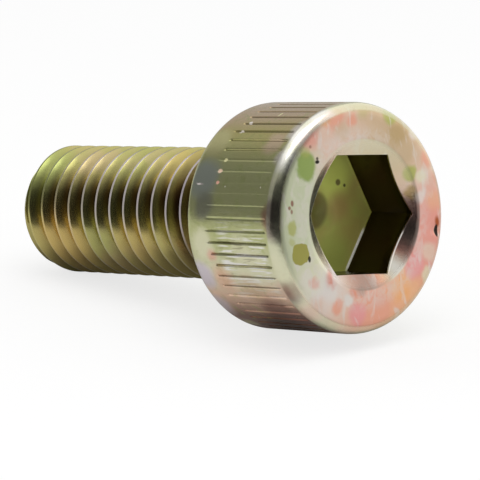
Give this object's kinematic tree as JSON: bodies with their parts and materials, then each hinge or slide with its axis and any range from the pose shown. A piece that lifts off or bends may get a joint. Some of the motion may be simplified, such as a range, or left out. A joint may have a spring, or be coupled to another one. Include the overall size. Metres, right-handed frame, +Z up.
{
  "type": "hexagon socket cylinder head screw",
  "caption": "Hexagon socket cylinder head screw with a straight-knurled head, a full-length metric thread and a chamfered tip, lying on its side.",
  "frame": {"origin": "centre of the bounding box's underside, in the plane that the screw lies on", "axes": "+X runs level from the tip towards the head, +Z is up; the screw's own axis rises 8.2 degrees towards the head in the XZ plane"},
  "size_m": [0.0218, 0.0098, 0.0105],
  "materials": {
    "chromated_steel": "yellow chromate over zinc plating, glossy, with olive, pink and pearl patches"
  },
  "bodies": {
    "root": {"cap_screw": "chromated_steel"}
  },
  "joints": []
}
